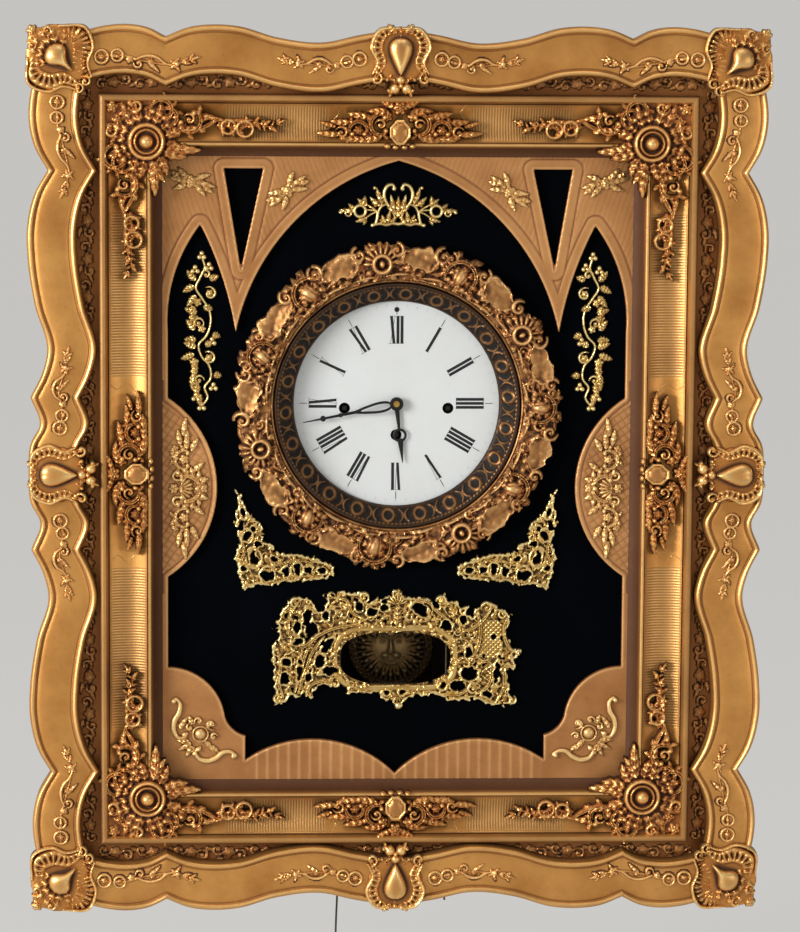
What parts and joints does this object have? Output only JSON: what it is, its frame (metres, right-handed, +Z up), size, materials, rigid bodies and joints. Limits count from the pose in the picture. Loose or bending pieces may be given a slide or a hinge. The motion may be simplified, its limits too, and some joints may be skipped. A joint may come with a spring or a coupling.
{
  "type": "wall clock",
  "caption": "Gilded picture-frame wall clock: scalloped carved frame as a door, dark velvet panel with pointed-arch overlay, enamel dial in a wreath, pendulum window.",
  "frame": {"origin": "middle of the hanging hole, on the wall plane", "axes": "+X to the viewer's right, +Y into the wall, +Z up"},
  "size_m": [0.5008, 0.137, 0.6472],
  "materials": {
    "gilt_wood": "burnished gold leaf and bronze over gesso",
    "gilt_overlay": "satin gold leaf over gesso",
    "mount_gilt": "stamped and fire gilt",
    "bezel_bronze": "darkened, chased",
    "velvet": "dark pile",
    "case_wood": "stained softwood, dull",
    "pale_wood": "bare softwood",
    "brass": "brushed and lacquered",
    "steel": "polished",
    "iron": "blackened",
    "blued": "blackened steel",
    "enamel": "white fired enamel, glossy",
    "bob_gilt": "stamped gilt brass, aged",
    "cord": "thin braided line"
  },
  "bodies": {
    "case": {"case_back": "pale_wood", "case_sides": "case_wood", "case_top": "case_wood", "case_bottom": "case_wood", "hanger_plate": "iron", "wood_screws": "steel", "case_hinge_leaves": "brass", "hinge_pins": "steel", "movement_brackets": "iron", "front_plate": "brass", "back_plate": "brass", "plate_pillars": "brass", "pillar_nuts": "steel", "suspension_cock": "brass", "enamel_dial": "enamel", "gong_stand": "iron", "hour_gong": "steel", "quarter_gong": "steel", "cord_eyelets": "brass"},
    "front_frame": {"outer_frame_rails": "gilt_wood", "outer_frame_stiles": "gilt_wood", "inner_frame_rails": "gilt_wood", "inner_frame_stiles": "gilt_wood", "base_frame": "gilt_wood", "panel_board": "pale_wood", "velvet_cover": "velvet", "gothic_fret": "gilt_overlay", "dial_wreath": "gilt_wood", "dial_bezel": "bezel_bronze", "outer_corner_cartouches": "gilt_wood", "outer_middle_cartouches": "gilt_wood", "inner_corner_rosettes": "gilt_wood", "inner_middle_sprays": "gilt_wood", "crest_mount": "mount_gilt", "vine_mounts": "mount_gilt", "corner_mounts": "mount_gilt", "window_mount": "mount_gilt", "frame_hinge_leaves": "brass"},
    "going_barrel": {"going_barrel": "brass"},
    "strike_barrel": {"strike_barrel": "brass"},
    "quarter_barrel": {"quarter_barrel": "brass"},
    "going_arbor": {"going_arbor": "steel"},
    "strike_arbor": {"strike_arbor": "steel"},
    "quarter_arbor": {"quarter_arbor": "steel"},
    "centre_wheel": {"centre_wheel": "brass"},
    "third_wheel": {"third_wheel": "brass"},
    "escape_wheel": {"escape_wheel": "brass"},
    "pallets": {"pallet_anchor": "steel"},
    "pendulum": {"pendulum_rod": "brass", "pendulum_bob": "bob_gilt"},
    "minute_work": {"cannon_pinion": "steel", "minute_hand": "blued"},
    "minute_wheel": {"minute_wheel": "brass"},
    "hour_work": {"hour_wheel": "brass", "hour_hand": "blued"},
    "hour_hammer": {"hour_hammer": "brass"},
    "quarter_hammer": {"quarter_hammer": "brass"},
    "repeat_pull": {"repeat_cord": "cord"},
    "silence_pull": {"silence_cord": "cord"}
  },
  "joints": [
    {"name": "frame_door", "type": "hinge", "parent": "case", "child": "front_frame", "pos_m": [-0.201, -0.09525, -0.2665], "axis": [0, 0, -1], "range_deg": [0, 90]},
    {"name": "pendulum_swing", "type": "hinge", "parent": "case", "child": "pendulum", "pos_m": [0, -0.034, -0.1665], "axis": [0, 1, 0], "range_deg": [-4, 4]},
    {"name": "pallet_rock", "type": "hinge", "parent": "case", "child": "pallets", "pos_m": [0, -0.06, -0.1665], "axis": [0, 1, 0], "range_deg": [-4, 4]},
    {"name": "third_spin", "type": "hinge", "parent": "case", "child": "third_wheel", "pos_m": [-0.01077, -0.0625, -0.20491], "axis": [0, 1, 0], "continuous": true},
    {"name": "centre_spin", "type": "hinge", "parent": "case", "child": "centre_wheel", "pos_m": [0, -0.0625, -0.2215], "axis": [0, 1, 0], "continuous": true},
    {"name": "going_barrel_spin", "type": "hinge", "parent": "case", "child": "going_barrel", "pos_m": [0, -0.0625, -0.24331], "axis": [0, 1, 0], "continuous": true},
    {"name": "escape_spin", "type": "hinge", "parent": "case", "child": "escape_wheel", "pos_m": [0, -0.0625, -0.1896], "axis": [0, 1, 0], "continuous": true},
    {"name": "minute_spin", "type": "hinge", "parent": "case", "child": "minute_work", "pos_m": [0, -0.09, -0.2215], "axis": [0, 1, 0], "continuous": true},
    {"name": "minute_wheel_spin", "type": "hinge", "parent": "case", "child": "minute_wheel", "pos_m": [0.00849, -0.085, -0.21301], "axis": [0, 1, 0], "continuous": true},
    {"name": "hour_spin", "type": "hinge", "parent": "case", "child": "hour_work", "pos_m": [0, -0.09, -0.2215], "axis": [0, 1, 0], "continuous": true},
    {"name": "strike_barrel_spin", "type": "hinge", "parent": "case", "child": "strike_barrel", "pos_m": [-0.03549, -0.0625, -0.2249], "axis": [0, 1, 0], "continuous": true},
    {"name": "quarter_barrel_spin", "type": "hinge", "parent": "case", "child": "quarter_barrel", "pos_m": [0.03549, -0.0625, -0.2249], "axis": [0, 1, 0], "continuous": true},
    {"name": "going_wind", "type": "hinge", "parent": "case", "child": "going_arbor", "pos_m": [0, -0.0625, -0.24331], "axis": [0, 1, 0], "continuous": true},
    {"name": "strike_wind", "type": "hinge", "parent": "case", "child": "strike_arbor", "pos_m": [-0.03549, -0.0625, -0.2249], "axis": [0, 1, 0], "continuous": true},
    {"name": "quarter_wind", "type": "hinge", "parent": "case", "child": "quarter_arbor", "pos_m": [0.03549, -0.0625, -0.2249], "axis": [0, 1, 0], "continuous": true},
    {"name": "hour_hammer_lift", "type": "hinge", "parent": "case", "child": "hour_hammer", "pos_m": [-0.048, -0.033, -0.2355], "axis": [0, 1, 0], "range_deg": [0, 12], "stiffness_Nm_per_rad": 0.02},
    {"name": "quarter_hammer_lift", "type": "hinge", "parent": "case", "child": "quarter_hammer", "pos_m": [0.048, -0.033, -0.2355], "axis": [0, -1, 0], "range_deg": [0, 12], "stiffness_Nm_per_rad": 0.02},
    {"name": "repeat_pull_slide", "type": "slide", "parent": "case", "child": "repeat_pull", "axis": [0, 0, -1], "range_m": [0, 0.012], "stiffness_N_per_m": 60},
    {"name": "silence_pull_slide", "type": "slide", "parent": "case", "child": "silence_pull", "axis": [0, 0, -1], "range_m": [0, 0.012], "stiffness_N_per_m": 60}
  ],
  "couplings": [
    {"joint": "pallet_rock", "follows": "pendulum_swing", "ratio": 1},
    {"joint": "centre_spin", "follows": "third_spin", "ratio": -0.095238},
    {"joint": "going_barrel_spin", "follows": "third_spin", "ratio": 0.013228},
    {"joint": "escape_spin", "follows": "third_spin", "ratio": -12},
    {"joint": "minute_wheel_spin", "follows": "minute_spin", "ratio": -0.33333},
    {"joint": "hour_spin", "follows": "minute_spin", "ratio": 0.083333}
  ]
}
